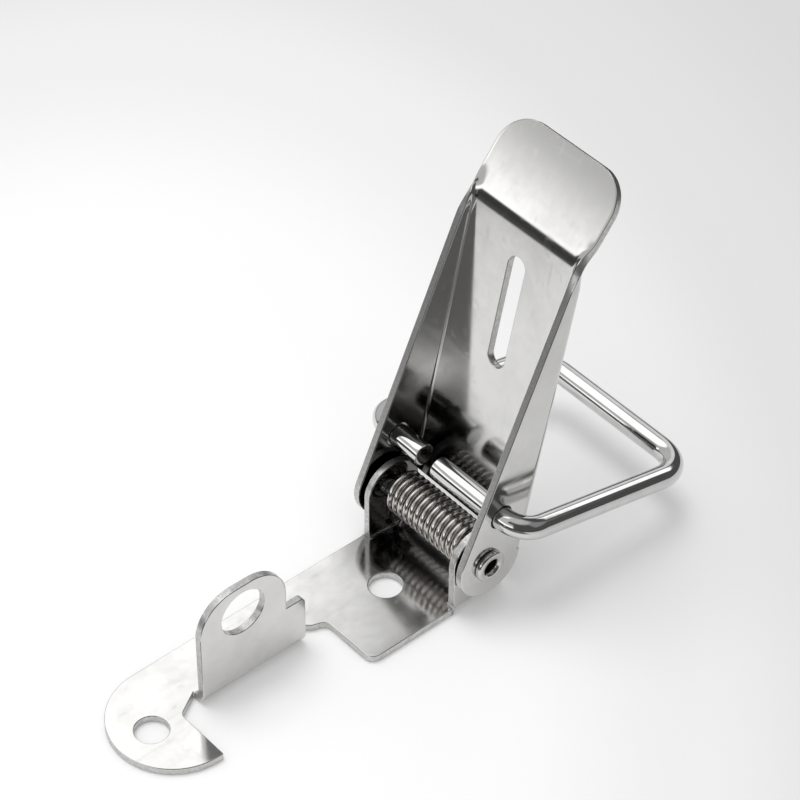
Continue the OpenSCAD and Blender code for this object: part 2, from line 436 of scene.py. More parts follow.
    def finish_metal(
        self, shader: bpy.types.Node, colour: Socket, rough: Socket, height: Socket, depth: float
    ) -> None:
        """Joins a metal's colour, roughness and relief to its shader.

        Args:
            shader: The shader.
            colour: The socket with the colour.
            rough: The socket with the roughness.
            height: The socket with the relief.
            depth: How deep a relief of 1 is, in metres.
        """
        bump = self.add("ShaderNodeBump")
        self.feed(bump.inputs["Strength"], 1.0)
        self.feed(bump.inputs["Distance"], depth)
        self.feed(bump.inputs["Height"], height)
        self.feed(shader.inputs["Normal"], bump.outputs["Normal"])
        self.feed(shader.inputs["Base Color"], colour)
        self.feed(shader.inputs["Roughness"], rough)
        self.feed(shader.inputs["Metallic"], 1.0)


def start_material(name: str) -> tuple[bpy.types.Material, NodeBench, bpy.types.Node, Socket]:
    """Starts a material that reads Object coordinates.

    Args:
        name: The material's name.

    Returns:
        The material, a bench on its nodes, its shader and the socket with the place.
    """
    material = bpy.data.materials.new(name)
    material.use_nodes = True
    bench = NodeBench(material.node_tree)
    shader = material.node_tree.nodes["Principled BSDF"]
    return material, bench, shader, bench.add("ShaderNodeTexCoord").outputs["Object"]


def new_group(
    name: str, inputs: dict[str, float], outputs: tuple[str, ...]
) -> tuple[bpy.types.NodeTree, NodeBench, dict[str, Socket], dict[str, Socket]]:
    """Starts a shader node group with named value sockets, and one for the place.

    Args:
        name: The group's name.
        inputs: Each input's name and its first value.
        outputs: The outputs' names.

    Returns:
        The group, a bench on it, its inputs by name and its output sockets by name.
    """
    group = bpy.data.node_groups.new(name, "ShaderNodeTree")
    group.interface.new_socket("Place", in_out="INPUT", socket_type="NodeSocketVector")
    for key, value in inputs.items():
        socket = group.interface.new_socket(key, in_out="INPUT", socket_type="NodeSocketFloat")
        socket.default_value = value
    for key in outputs:
        group.interface.new_socket(key, in_out="OUTPUT", socket_type="NodeSocketFloat")
    bench = NodeBench(group)
    entry = bench.add("NodeGroupInput")
    leave = bench.add("NodeGroupOutput")
    given = {socket.name: socket for socket in entry.outputs}
    return group, bench, given, {socket.name: socket for socket in leave.inputs}


def build_polish_group() -> bpy.types.NodeTree:
    """What barrel polishing leaves on metal: clouds of haze, fine marks all ways, and slight waves.

    Returns:
        The group.
    """
    group, bench, given, out = new_group(
        "barrel_polish",
        {"Cloud Scale": 150.0, "Mark Scale": 900.0, "Wave Scale": 260.0},
        ("Haze", "Marks", "Height"),
    )
    haze_layers = ((0.7, 1.0, 3.0, 0.55), (0.3, 4.2, 2.0, 0.6))
    haze_range = (0.34, 0.66)
    # Of each way that marks run, its turn in degrees and its stretch
    mark_ways = (
        ((0.0, 0.0, 24.0), (0.05, 1.0, 0.4)),
        ((0.0, 38.0, -41.0), (1.0, 0.06, 0.5)),
        ((35.0, 0.0, 80.0), (0.07, 0.6, 1.0)),
        ((-20.0, 65.0, 10.0), (0.5, 1.0, 0.05)),
    )
    mark_range = (0.66, 0.78)
    mark_depth = 0.22
    place = given["Place"]
    haze = bench.layered_noise(place, given["Cloud Scale"], haze_layers)
    bench.feed(out["Haze"], bench.ramp(haze, *haze_range))
    marks = None
    for turn, scale in mark_ways:
        line = bench.noise(bench.stretch(place, turn, scale), given["Mark Scale"], 1.0, 0.4)
        line = bench.ramp(line, *mark_range)
        marks = line if marks is None else bench.maths("MAXIMUM", marks, line)
    bench.feed(out["Marks"], marks)
    wave = bench.noise(place, given["Wave Scale"], 2.0, 0.45)
    bench.feed(out["Height"], bench.maths("SUBTRACT", wave, bench.maths("MULTIPLY", marks, mark_depth)))
    return group


def build_speckle_group() -> bpy.types.NodeTree:
    """The torn grain of a punched edge, with small bright grains and pits between them.

    Returns:
        The group.
    """
    group, bench, given, out = new_group("torn_grain", {"Grain Scale": 3200.0}, ("Grain", "Height"))
    layers = ((0.65, 1.0, 2.0, 0.7), (0.35, 0.32, 2.0, 0.6))
    grain_range = (0.38, 0.62)
    both = bench.layered_noise(given["Place"], given["Grain Scale"], layers)
    bench.feed(out["Grain"], bench.ramp(both, *grain_range))
    bench.feed(out["Height"], both)
    return group


@dataclass(frozen=True)
class PolishedMetal:
    """A polished metal finish.

    Attributes:
        name: The material's name.
        colour: The metal's colour where it is cleanest.
        haze_colour: Its colour in the hazy clouds.
        roughness: The lowest roughness.
        haze: How much rougher the clouds are.
        marks: How much rougher the fine marks are.
        cloud_scale: Clouds to the metre.
        mark_scale: Marks to the metre.
        wave_scale: Waves to the metre.
        wave_depth: Depth of the waviness, in metres.
        painted_shade_patch: Where painted shade darkens the metal beside the spring, standing in for the dark
            reflections between the ears: the middle of the patch, and the two distances between which it
                fades out, in millimetres.
        painted_shade_left: How much of the metal's brightness is left under the painted shade.
    """

    name: str
    colour: Place
    haze_colour: Place
    roughness: float
    haze: float
    marks: float
    cloud_scale: float
    mark_scale: float
    wave_scale: float
    wave_depth: float
    painted_shade_patch: tuple[Place, float, float] | None = None
    painted_shade_left: float = 0.35

    def make(self, polish: bpy.types.NodeTree) -> bpy.types.Material:
        """Makes the material with the shared polish group.

        Args:
            polish: The group.

        Returns:
            The material.
        """
        material, bench, shader, place = start_material(self.name)
        scales = {
            "Cloud Scale": self.cloud_scale,
            "Mark Scale": self.mark_scale,
            "Wave Scale": self.wave_scale,
        }
        group = bench.group(polish, place, scales)
        haze, marks, height = (group.outputs[key] for key in ("Haze", "Marks", "Height"))
        colour = bench.mix(haze, (*self.colour, 1.0), (*self.haze_colour, 1.0))
        # Painted shade: the metal is darkened near the spring, between the ears
        if self.painted_shade_patch is not None:
            colour = bench.tint(colour, self.left_by_painted_shade(bench, place))
        rough = bench.maths("MULTIPLY_ADD", haze, self.haze, self.roughness)
        rough = bench.maths("MULTIPLY_ADD", marks, self.marks, rough)
        bench.finish_metal(shader, colour, rough, height, self.wave_depth)
        return material

    def left_by_painted_shade(self, bench: NodeBench, place: Socket) -> Socket:
        """How much of the metal's brightness the painted shade beside the spring leaves.

        Args:
            bench: The bench on the material's nodes.
            place: The socket with the place.

        Returns:
            The socket with the share that is left.
        """
        middle, near, far = self.painted_shade_patch
        apart = bench.add("ShaderNodeVectorMath", operation="DISTANCE")
        bench.feed(apart.inputs[0], place)
        bench.feed(apart.inputs[1], millimetres(*middle))
        return bench.ramp(apart.outputs["Value"], near * MM, far * MM, self.painted_shade_left, 1.0)


@dataclass(frozen=True)
class TornEdge:
    """The finish of a punched and tumbled edge.

    Attributes:
        name: The material's name.
        bright: The colour of the bright grains.
        dull: The colour of the pits.
        roughness: Roughness of the bright grains.
        dullness: How much rougher the pits are.
        grain_scale: Grains to the metre.
        depth: Depth of the grain, in metres.
    """

    name: str
    bright: Place
    dull: Place
    roughness: float = 0.3
    dullness: float = 0.15
    grain_scale: float = 5200.0
    depth: float = 6e-6

    def make(self, speckle: bpy.types.NodeTree) -> bpy.types.Material:
        """Makes the material with the shared grain group.

        Args:
            speckle: The group.

        Returns:
            The material.
        """
        material, bench, shader, place = start_material(self.name)
        group = bench.group(speckle, place, {"Grain Scale": self.grain_scale})
        grain = group.outputs["Grain"]
        colour = bench.mix(grain, (*self.dull, 1.0), (*self.bright, 1.0))
        rough = bench.maths("MULTIPLY_ADD", grain, -self.dullness, self.roughness + self.dullness)
        bench.finish_metal(shader, colour, rough, group.outputs["Height"], self.depth)
        return material


@dataclass
class Finishes:
    """Every finish of the latch, made once.

    Attributes:
        sheet: The rolled faces of both sheets.
        edge: Their punched edges.
        rivet: The rivet.
        spring: The spring's wire.
        bail: The bail's wire.
    """

    sheet: bpy.types.Material = field(init=False)
    edge: bpy.types.Material = field(init=False)
    rivet: bpy.types.Material = field(init=False)
    spring: bpy.types.Material = field(init=False)
    bail: bpy.types.Material = field(init=False)

    def __post_init__(self) -> None:
        """Builds the two shared groups and the five materials."""
        polish = build_polish_group()
        speckle = build_speckle_group()
        self.sheet = PolishedMetal(
            name="polished_sheet",
            colour=(0.67, 0.665, 0.655),
            haze_colour=(0.62, 0.615, 0.602),
            roughness=0.1,
            haze=0.05,
            marks=0.06,
            cloud_scale=150.0,
            mark_scale=900.0,
            wave_scale=260.0,
            wave_depth=8e-7,
            # The patch of painted shade round the spring, between the ears
            painted_shade_patch=((35.5, 8.0, 10.0), 11.0, 19.0),
        ).make(polish)
        self.edge = TornEdge("cut_edge", (0.64, 0.637, 0.63), (0.46, 0.457, 0.45)).make(speckle)
        self.rivet = PolishedMetal(
            name="rivet_metal",
            colour=(0.62, 0.612, 0.6),
            haze_colour=(0.52, 0.512, 0.5),
            roughness=0.12,
            haze=0.08,
            marks=0.08,
            cloud_scale=400.0,
            mark_scale=1800.0,
            wave_scale=700.0,
            wave_depth=1e-6,
        ).make(polish)
        self.spring = PolishedMetal(
            name="spring_wire_metal",
            colour=(0.62, 0.6, 0.575),
            haze_colour=(0.52, 0.5, 0.475),
            roughness=0.09,
            haze=0.06,
            marks=0.04,
            cloud_scale=500.0,
            mark_scale=2400.0,
            wave_scale=900.0,
            wave_depth=4e-7,
        ).make(polish)
        self.bail = PolishedMetal(
            name="bail_wire_metal",
            colour=(0.68, 0.68, 0.675),
            haze_colour=(0.6, 0.6, 0.595),
            roughness=0.06,
            haze=0.04,
            marks=0.06,
            cloud_scale=220.0,
            mark_scale=1300.0,
            wave_scale=420.0,
            wave_depth=1e-6,
        ).make(polish)


# The two folded sheets


@dataclass
class FoldedSheet:
    """A piece folded from sheet, with its arrises rounded and its cut edges told apart.

    Attributes:
        node: The CAD node it stands for.
        name: The piece's name.
        body: The body it rides on.
        tight: Boxes round crowded corners, where no arris is rounded: their low and high corners,
            for both halves of the latch, with y above 0.
        arris: Width of the rounding along each arris, in millimetres.
        reach: The widest rounding, as a share of its arris's length.
        sharp: The angle from which an edge is an arris, in degrees.
        kink: The angle between two arrises below which they end at a corner, in degrees.
        square: How far a normal may lean on a face that is square to an axis.
    """

    node: str
    name: str
    body: Body
    tight: tuple[Box, ...]
    arris: float = 0.15
    reach: float = 0.35
    sharp: float = 38.0
    kink: float = 140.0
    square: float = 0.05

    def is_cut(self, centre: Vector, normal: Vector) -> bool:
        """Whether a face is part of the punched edge. Each sheet says so in its own way."""
        raise NotImplementedError

    def reshape(self, piece: Piece) -> None:
        """Gives a sheet forms that its node leaves out. A sheet that has none leaves this as it is."""

    def copy_node(self) -> Piece:
        """Copies the CAD node and joins its loose triangles into clean flat faces.

        Returns:
            The copy.
        """
        merge = 1e-6
        flat = math.radians(0.4)
        node = frame["nodes"][self.node]
        piece = node.copy()
        piece.data = node.data.copy()
        piece.name = self.name
        piece.data.name = self.name
        for key in [key for key in piece.keys() if key.startswith("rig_")]:
            del piece[key]
        piece.parent = None
        piece.matrix_world = Matrix.Identity(4)
        piece.data.materials.clear()
        bpy.context.scene.collection.objects.link(piece)
        take(piece)
        bpy.ops.mesh.customdata_custom_splitnormals_clear()
        shape(piece)
        bpy.ops.mesh.remove_doubles(threshold=merge)
        bpy.ops.mesh.dissolve_limited(angle_limit=flat)
        close_shape()
        return piece

    def cut_round_tight_corners(self, piece: Piece) -> None:
        """Cuts the mesh along the sides of the tight boxes, so that a rounding can end there.

        Args:
            piece: The clean copy of the node.
        """
        planes = set()
        for low, high in self.tight:
            for axis in range(3):
                for place in (low[axis], high[axis]):
                    planes.add((axis, place))
                    if axis == 1:
                        planes.add((axis, -place))
        for axis, place in sorted(planes):
            way = [0.0, 0.0, 0.0]
            way[axis] = 1.0
            shape(piece)
            bpy.ops.mesh.bisect(plane_co=Vector(way) * place * MM, plane_no=way)
            close_shape()

    def is_tight(self, edge: bmesh.types.BMEdge) -> bool:
        """Whether an edge lies inside a tight box, on either half of the latch.

        Args:
            edge: The edge.

        Returns:
            True inside such a box.
        """
        places = [(vertex.co.x / MM, abs(vertex.co.y) / MM, vertex.co.z / MM) for vertex in edge.verts]
        for low, high in self.tight:
            depths = [place[axis] - low[axis] for place in places for axis in range(3)]
            depths += [high[axis] - place[axis] for place in places for axis in range(3)]
            if min(depths) > -SLACK:
                return True
        return False

    def turns(self, vertex: bmesh.types.BMVert, edges: list[bmesh.types.BMEdge]) -> bool:
        """Whether two arrises that meet at a point turn sharply there."""
        ways = [edge.other_vert(vertex).co - vertex.co for edge in edges]
        return ways[0].angle(ways[1], math.pi) < math.radians(self.kink)

    def arrises(self, mesh: bmesh.types.BMesh) -> list[tuple[list[bmesh.types.BMEdge], float]]:
        """Follows the arrises of a mesh from corner to corner.

        Args:
            mesh: The mesh that is looked at.

        Returns:
            The edges of each arris and its length in millimetres.
        """
        sharp = [edge for edge in mesh.edges if edge.calc_face_angle(0) > math.radians(self.sharp)]
        met = {}
        for edge in sharp:
            for vertex in edge.verts:
                met.setdefault(vertex, []).append(edge)
        corners = {vertex for vertex, edges in met.items() if len(edges) != 2 or self.turns(vertex, edges)}
        left = set(sharp)
        found = []
        for first in sharp:
            if first not in left:
                continue
            left.remove(first)
            chain, queue = [], [first]
            while queue:
                edge = queue.pop()
                chain.append(edge)
                for vertex in edge.verts:
                    if vertex not in corners:
                        more = [other for other in met[vertex] if other in left]
                        left.difference_update(more)
                        queue.extend(more)
            found.append((chain, sum(edge.calc_length() for edge in chain) / MM))
        return found

    def mark_arrises(self, piece: Piece) -> None:
        """Says how wide each arris is rounded: fully on long ones, less on short ones.

        Args:
            piece: The sheet, in its final shape.
        """
        mesh = bmesh.new()
        mesh.from_mesh(piece.data)
        weights = [0.0] * len(mesh.edges)
        for chain, length in self.arrises(mesh):
            share = min(1.0, self.reach * length / self.arris)
            for edge in chain:
                weights[edge.index] = 0.0 if self.is_tight(edge) else share
        mesh.free()
        marks = piece.data.attributes.new("bevel_weight_edge", "FLOAT", "EDGE")
        marks.data.foreach_set("value", weights)

    def build(self, finishes: Finishes) -> Piece:
        """Builds the sheet and dresses it.

        Args:
            finishes: The latch's finishes.

        Returns:
            The finished piece.
        """
        piece = self.copy_node()
        self.cut_round_tight_corners(piece)
        piece.data.materials.append(finishes.sheet)
        piece.data.materials.append(finishes.edge)
        for face in piece.data.polygons:
            face.material_index = int(self.is_cut(face.center / MM, face.normal))
        self.reshape(piece)
        self.mark_arrises(piece)
        rounding = piece.modifiers.new("arris", "BEVEL")
        rounding.width = self.arris * MM
        rounding.segments = 3
        rounding.limit_method = "WEIGHT"
        rounding.use_clamp_overlap = False
        rounding.material = 0
        apply_modifiers(piece)
        smooth(piece, 40)
        weighted = piece.modifiers.new("flat_faces", "WEIGHTED_NORMAL")
        weighted.keep_sharp = True
        weighted.weight = 80
        apply_modifiers(piece)
        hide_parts(self.node)
        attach(piece, self.body.value)
        return piece


@dataclass
class BasePlate(FoldedSheet):
    """The base plate with its two ears and its padlock tab.

    Its first four fields are those of every folded sheet.

    Attributes:
        ear_from: Where the ears start along the plate, in millimetres.
        ear_across: How far across they start.
        plate_top: Just above the plate's upper face.
        level: How upright a normal is on a level face.
    """

    node: str = "base_plate"
    name: str = "base_sheet"
    body: Body = Body.BASE
    tight: tuple[Box, ...] = (((26.6, 8.4, -0.5), (27.8, 11.7, 2.4)),)
    ear_from: float = 27.15
    ear_across: float = 8.7
    plate_top: float = 1.35
    level: float = 0.99

    def is_cut(self, centre: Vector, normal: Vector) -> bool:
        """Whether a face is part of the punched edge of the plate, an ear or the tab.

        Args:
            centre: The middle of the face, in millimetres.
            normal: The way it faces.

        Returns:
            True on the punched edge.
        """
        is_raised = centre.z > self.plate_top
        if centre.z < self.plate_top and abs(normal.z) > self.level:
            return False
        if is_raised or (centre.x > self.ear_from and abs(centre.y) > self.ear_across):
            return abs(normal.y) < self.square
        return True


@dataclass
class Lever(FoldedSheet):
    """The lever: a folded channel with a slot in its back and a finger tongue.

    Its own frame has x out through the back, z along the lever and its zero at the pivot. Lengths
    are in millimetres, and the first four fields are those of every folded sheet.

    Attributes:
        pivot: Where the pivot sits along and above the base.
        lean: The open lever's lean from upright, in degrees.
        side_from: How far across the flat sides start.
        back: How far the outside of the back is from the pivot.
        thickness: The sheet's thickness.
        fold_start: How far across the folds start.
        fold_inner: Inside radius of the folds.
        fold_depth: How far below the back's inside a side counts as flat.
        end_facing: How much a normal leans along the lever on a cut end.
        slot_facing: How much a normal leans across on the slot's sides.
        slot_within: How far across those sides are at most.
        grown_from: Where the new upper end starts along the lever.
        run_out: Between which two places along the lever the folds run out into the tongue.
        bend_at: Where the tongue's bend starts.
        bend_inner: Radius of that bend on the lever's back.
        tongue_lean: How far the tongue leans back, in degrees.
        tongue_curve: How much more it leans at its end, in degrees.
        tongue_straight: The tongue's length beyond the bend.
        tongue_half: Half the tongue's width.
        tongue_corner: Radius of the tongue's corners.
        taper: How much lower the sides get with each millimetre along the lever.
        least_wall: The lowest side that is left before it runs out.
        flat_arc: What is left of a fold's length on the tongue, as a share of its half width.
        flat_wall: What is left of a side's height there, as the same share.
        flat_angle: What is left of the fold's angle there, in radians.
        clearance: How far the folds stay inside the CAD node's width.
        run_steps: Rings up to where the folds have run out.
        straight_steps: Rings from there to the tongue's corners.
        corner_steps: Rings round the corners.
    """

    node: str = "lever"
    name: str = "lever_sheet"
    body: Body = Body.LEVER
    tight: tuple[Box, ...] = (((36.9, 10.5, 7.8), (40.2, 12.8, 9.3)),)
    pivot: tuple[float, float] = (32.15, 9.1)
    lean: float = 12.9
    side_from: float = 11.19
    back: float = 7.25
    thickness: float = 1.3
    fold_start: float = 10.7
    fold_inner: float = 0.5
    fold_depth: float = 0.45
    end_facing: float = 0.55
    slot_facing: float = 0.3
    slot_within: float = 3.0
    grown_from: float = 46.6
    run_out: tuple[float, float] = (47.2, 55.5)
    bend_at: float = 50.45
    bend_inner: float = 4.2
    tongue_lean: float = 25.3
    tongue_curve: float = 3.0
    tongue_straight: float = 12.4
    tongue_half: float = 12.2
    tongue_corner: float = 5.7
    taper: float = 0.205
    least_wall: float = 0.2
    flat_arc: float = 0.13
    flat_wall: float = 0.04
    flat_angle: float = 2e-3
    clearance: float = 0.006
    run_steps: int = 30
    straight_steps: int = 4
    corner_steps: int = 12

    def to_world(self) -> Matrix:
        """The place of the lever's own frame."""
        shift = Matrix.Translation(millimetres(self.pivot[0], 0, self.pivot[1]))
        return shift @ Matrix.Rotation(math.radians(self.lean), 4, "Y")

    def middle(self) -> float:
        """How far out the middle of the back's sheet is."""
        return self.back - self.thickness / 2

    def fold_radius(self) -> float:
        """Radius of the folds at the middle of the sheet."""
        return self.fold_inner + self.thickness / 2

    def fold_length(self) -> float:
        """Length of a fold along the middle of the sheet."""
        return self.fold_radius() * math.pi / 2

    def bend_length(self) -> float:
        """Length of the tongue's bend along the middle of the sheet."""
        return (self.bend_inner + self.thickness / 2) * math.radians(self.tongue_lean)

    def corner_from(self) -> float:
        """Where the tongue's corners start along the middle of the sheet."""
        return self.bend_at + self.bend_length() + self.tongue_straight - self.tongue_corner

    def is_cut(self, centre: Vector, normal: Vector) -> bool:
        """Whether a face is part of the punched edge of a side or of the back.

        Args:
            centre: The middle of the face, in millimetres.
            normal: The way it faces.

        Returns:
            True on the punched edge.
        """
        way = self.to_world().inverted()
        place = way @ (centre * MM) / MM
        facing = way.to_3x3() @ normal
        across = abs(centre.y)
        if across > self.side_from and place.x < self.back - self.thickness - self.fold_depth:
            return abs(facing.y) < self.square
        is_slot = abs(facing.y) > self.slot_facing and abs(facing.x) < self.square
        return abs(facing.z) > self.end_facing or (is_slot and across < self.slot_within)

    def flatten(self, place: Vector) -> Place:
        """Unfolds a point of the folded section.

        Args:
            place: The point in the lever's own frame, in millimetres.

        Returns:
            The side it is on, how far along the middle of the sheet it is, and how far outside it.
        """
        side = -1.0 if place.y < 0 else 1.0
        across, radius = abs(place.y), self.fold_radius()
        centre = self.middle() - radius
        if across <= self.fold_start + SLACK:
            return side, across, place.x - self.middle()
        if place.x >= centre - SLACK:
            turn = math.atan2(across - self.fold_start, place.x - centre)
            apart = math.hypot(across - self.fold_start, place.x - centre)
            return side, self.fold_start + radius * turn, apart - radius
        wall = self.fold_start + self.fold_length() + centre - place.x
        return side, wall, across - self.fold_start - radius

    def section(self, along: float, edge: float) -> tuple[float, float, float, float]:
        """The folded section at a place along the lever.

        Args:
            along: The place, measured along the middle of the sheet.
            edge: How far out the sheet reached where the new end starts.

        Returns:
            Where the fold starts across, its length, the wall's length and the fold's angle.
        """
        low, high = self.run_out
        share = min(1.0, max(0.0, (along - low) / (high - low)))
        ease = share * share * (3 - 2 * share)
        beyond = along - self.corner_from()
        half = self.tongue_half
        if beyond > 0:
            half += math.sqrt(max(0.0, self.tongue_corner**2 - beyond**2)) - self.tongue_corner
        arc = self.fold_length()
        wall = edge - self.fold_start - arc - self.taper * (along - self.grown_from)
        wall = max(wall, self.least_wall)
        arc += (self.flat_arc * half - arc) * ease
        wall += (self.flat_wall * half - wall) * ease
        angle = math.pi / 2 * (1 - ease) + self.flat_angle
        widest = self.fold_start + self.fold_radius() + self.thickness / 2 - self.clearance
        widest += (half - widest) * ease
        start = widest - (arc / angle + self.thickness / 2) * math.sin(angle) - wall * math.cos(angle)
        return start, arc, wall, angle

    def fold_back(self, flat: Place, along: float, edge: float) -> Vector:
        """Folds an unfolded point back at a place along the lever and bends it with the tongue.

        Args:
            flat: The point as flatten gives it.
            along: The place along the middle of the sheet.
            edge: How far out the sheet reached where the new end starts.

        Returns:
            The point in the lever's own frame, in millimetres.
        """
        side, reached, apart = flat
        start, arc, wall, angle = self.section(along, edge)
        old_arc = self.fold_length()
        old_wall = edge - self.fold_start - old_arc
        radius = arc / angle
        if reached <= self.fold_start:
            across, rise = reached * start / self.fold_start, apart
        else:
            turn = angle * min(1.0, (reached - self.fold_start) / old_arc)
            rest = max(0.0, reached - self.fold_start - old_arc) * wall / old_wall
            across = start + (radius + apart) * math.sin(turn) + rest * math.cos(turn)
            rise = (radius + apart) * math.cos(turn) - radius - rest * math.sin(turn)
        out, up, lean = self.spine(along)
        return Vector((out + rise * math.cos(lean), side * across, up - rise * math.sin(lean)))

    def spine(self, along: float) -> Place:
        """The middle of the back's sheet, bent with the tongue.

        Args:
            along: The place along it.

        Returns:
            How far out and along it is in the lever's own frame, and how far it leans there.
        """
        out, up, turn = self.middle(), min(along, self.bend_at), 0.0
        for start, length, lean in (
            (self.bend_at, self.bend_length(), self.tongue_lean),
            (self.bend_at + self.bend_length(), self.tongue_straight, self.tongue_curve),
        ):
            gone = min(length, max(0.0, along - start))
            radius = length / math.radians(lean)
            new = turn + gone / radius
            out += radius * (math.cos(turn) - math.cos(new))
            up += radius * (math.sin(new) - math.sin(turn))
            turn = new
        return out, up, turn

    def stations(self) -> list[float]:
        """Where the rings of the new upper end lie along the middle of the sheet.

        Returns:
            Their places, in order.
        """
        run_end, corner_from = self.run_out[1], self.corner_from()
        found = spaced(self.grown_from, run_end, self.run_steps)
        found += spaced(run_end, corner_from, self.straight_steps)
        for turn in spaced(0.0, math.pi / 2, self.corner_steps):
            found.append(corner_from + self.tongue_corner * math.sin(turn))
        return found

    def cut_end(self, mesh: bmesh.types.BMesh) -> tuple[dict[bmesh.types.BMVert, Place], float]:
        """Cuts the node's own upper end off and cleans the open section.

        Args:
            mesh: The lever's mesh, in its own frame.

        Returns:
            The unfolded place of each point of the section, and how far out the sheet reaches there.
        """
        everything = mesh.verts[:] + mesh.edges[:] + mesh.faces[:]
        level = (0, 0, self.grown_from * MM)
        way = (0, 0, 1)
        bmesh.ops.bisect_plane(
            mesh, geom=everything, plane_co=level, plane_no=way, clear_outer=True, dist=1e-7
        )
        bmesh.ops.remove_doubles(mesh, verts=open_points(mesh), dist=2e-5)
        rim = open_points(mesh)
        flat = {vertex: self.flatten(vertex.co / MM) for vertex in rim}
        edge = max(reached for _, reached, _ in flat.values())
        # Points this close to the front edge's corners would fall inside its rounding
        crowded = 0.4
        corners = [vertex for vertex in rim if flat[vertex][1] > edge - SLACK]
        near = [vertex for vertex in rim if edge - crowded < flat[vertex][1] < edge - SLACK]
        welds = {vertex: min(corners, key=lambda corner: (corner.co - vertex.co).length) for vertex in near}
        bmesh.ops.weld_verts(mesh, targetmap=welds)
        return {vertex: flat[vertex] for vertex in open_points(mesh)}, edge

    @staticmethod
    def spot(vertex: bmesh.types.BMVert) -> tuple[int, ...]:
        """A point's place in steps of ten nanometres, the same for a point and its copy."""
        return tuple(round(value * 1e8) for value in vertex.co)

    def reshape(self, piece: Piece) -> None:
        """Grows the lever's upper end anew, ring by ring, so that its folds run out into the tongue.

        Args:
            piece: The clean copy of the node, with its materials.
        """
        mesh = bmesh.new()
        mesh.from_mesh(piece.data)
        mesh.transform(self.to_world().inverted())
        flat, edge = self.cut_end(mesh)
        ring = [side for side in mesh.edges if side.is_boundary]
        for along in self.stations():
            known = {self.spot(vertex): value for vertex, value in flat.items()}
            grown = bmesh.ops.extrude_edge_only(mesh, edges=ring)["geom"]
            flat = {new: known[self.spot(new)] for new in grown if isinstance(new, bmesh.types.BMVert)}
            for new, value in flat.items():
                new.co = self.fold_back(value, along, edge) * MM
            for face in (new for new in grown if isinstance(new, bmesh.types.BMFace)):
                outermost = min(flat[vertex][1] for vertex in face.verts if vertex in flat)
                face.material_index = int(outermost > edge - SLACK)
            ring = [new for new in grown if isinstance(new, bmesh.types.BMEdge) and new.is_boundary]
        cap = bmesh.ops.contextual_create(mesh, geom=ring)["faces"][0]
        cap.material_index = 1
        bmesh.ops.recalc_face_normals(mesh, faces=mesh.faces[:])
        mesh.transform(self.to_world())
        mesh.to_mesh(piece.data)
        mesh.free()


# The rivet, the spring and the bail


@dataclass
class PivotRivet:
    """The hollow rivet with a rolled lip and a flared mouth at each end, its lengths in millimetres.

    Attributes:
        name: The piece's name.
        pivot: Where it sits along and above the base.
        bore: Radius of the bore.
        shank: Radius of the shank.
        lip_from: Where a lip starts across the plate.
        lip_to: Where a lip ends.
        lip: Radius of the lip.
        roll: Radius of the lip's rolled edge.
        chamfer: Width of the chamfer under the lip.
        mouth: Radius of the flared mouth.
        flare: Depth of the flare.
        straight: How far below the flare the bore's last plain ring is.
        rim_drop: How far below the lip's face the flare ends.
        rim_width: How wide the mouth's rim is.
        flare_steps: Rings along the flare.
        roll_steps: Rings round the rolled edge.
        sides: How many sides its circles have.
    """

    name: str = "rivet_with_rolled_lips"
    pivot: tuple[float, float] = (32.15, 9.1)
    bore: float = 1.25
    shank: float = 1.8
    lip_from: float = 12.6
    lip_to: float = 13.5
    lip: float = 2.65
    roll: float = 0.45
    chamfer: float = 0.1
    mouth: float = 1.6
    flare: float = 0.7
    straight: float = 0.25
    rim_drop: float = 0.06
    rim_width: float = 0.07
    flare_steps: int = 6
    roll_steps: int = 8
    sides: int = 72

    def half_profile(self) -> list[tuple[float, float]]:
        """The section of one end, from inside the bore out over the lip and back to the shank.

        Returns:
            Radius and place across the plate of each point.
        """
        points = [(self.bore, self.lip_to - self.flare - self.straight)]
        for share in spaced(0.0, 1.0, self.flare_steps):
            radius = self.bore + (self.mouth - self.bore) * share * share
            points.append((radius, self.lip_to - self.flare * (1 - share) - self.rim_drop * share))
        points.append((self.mouth + self.rim_width, self.lip_to))
        for angle in [0.0] + spaced(0.0, math.pi / 2, self.roll_steps):
            radius = self.lip - self.roll + self.roll * math.sin(angle)
            points.append((radius, self.lip_to - self.roll + self.roll * math.cos(angle)))
        points.append((self.lip, self.lip_from + self.chamfer))
        points.append((self.lip - self.chamfer, self.lip_from))
        points.append((self.shank, self.lip_from))
        return points

    def build(self, finishes: Finishes) -> Piece:
        """Draws the rivet ring by ring and dresses it.

        Args:
            finishes: The latch's finishes.

        Returns:
            The finished piece.
        """
        left = self.half_profile()
        loop = left + [(radius, -place) for radius, place in reversed(left)]
        radius, place = loop[0]
        deselect_all()
        bpy.ops.mesh.primitive_circle_add(
            vertices=self.sides,
            radius=radius * MM,
            location=millimetres(0, place, 0),
            rotation=(math.pi / 2, 0, 0),
        )
        piece = start_piece(self.name)
        settle(piece, Matrix.Identity(4))
        shape(piece)
        for next_radius, next_place in loop[1:] + loop[:1]:
            extrude_ring(millimetres(0, next_place - place, 0))
            factor = next_radius / radius
            centre = millimetres(0, next_place, 0)
            bpy.ops.transform.resize(value=(factor, 1, factor), center_override=centre)
            radius, place = next_radius, next_place
        close_shape()
        settle(piece, Matrix.Translation(millimetres(self.pivot[0], 0, self.pivot[1])))
        mesh_outward(piece, 1e-6)
        smooth(piece, 50)
        piece.data.materials.append(finishes.rivet)
        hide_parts("pivot_rivet")
        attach(piece, Body.BASE.value)
        return piece


